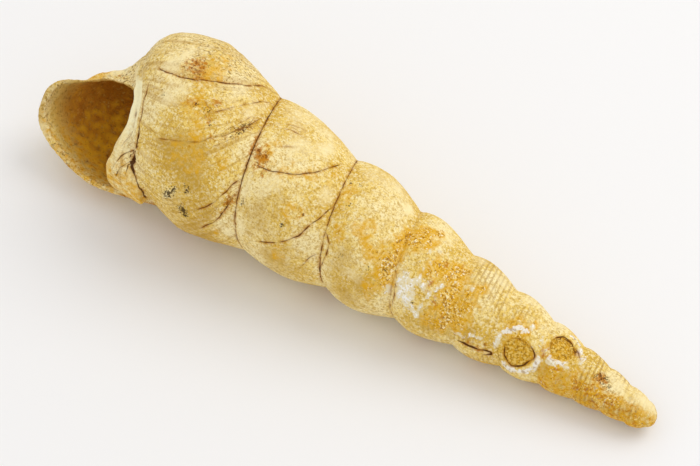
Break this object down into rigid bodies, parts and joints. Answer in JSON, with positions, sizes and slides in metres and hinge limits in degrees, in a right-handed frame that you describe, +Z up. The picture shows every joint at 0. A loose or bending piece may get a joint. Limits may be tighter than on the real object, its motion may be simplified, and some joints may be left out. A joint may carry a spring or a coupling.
{
  "type": "fossil turritella shell",
  "caption": "High-spired turret shell turned to stone: convex whorls between sunken sutures, a blunt worn tip and an open round mouth with a folded inner lip, lying on its side.",
  "frame": {"origin": "on the surface that the shell lies on, under the centre of its bounding box", "axes": "+X runs along the ground from the mouth end towards the tip, +Z is up, +Y completes the right-handed frame; the mouth faces up and towards -Y"},
  "size_m": [0.0886, 0.0234, 0.023],
  "materials": {
    "fossil_limestone": "matte, fine-grained, cream to ochre"
  },
  "bodies": {
    "root": {"shell": "fossil_limestone"}
  },
  "joints": []
}
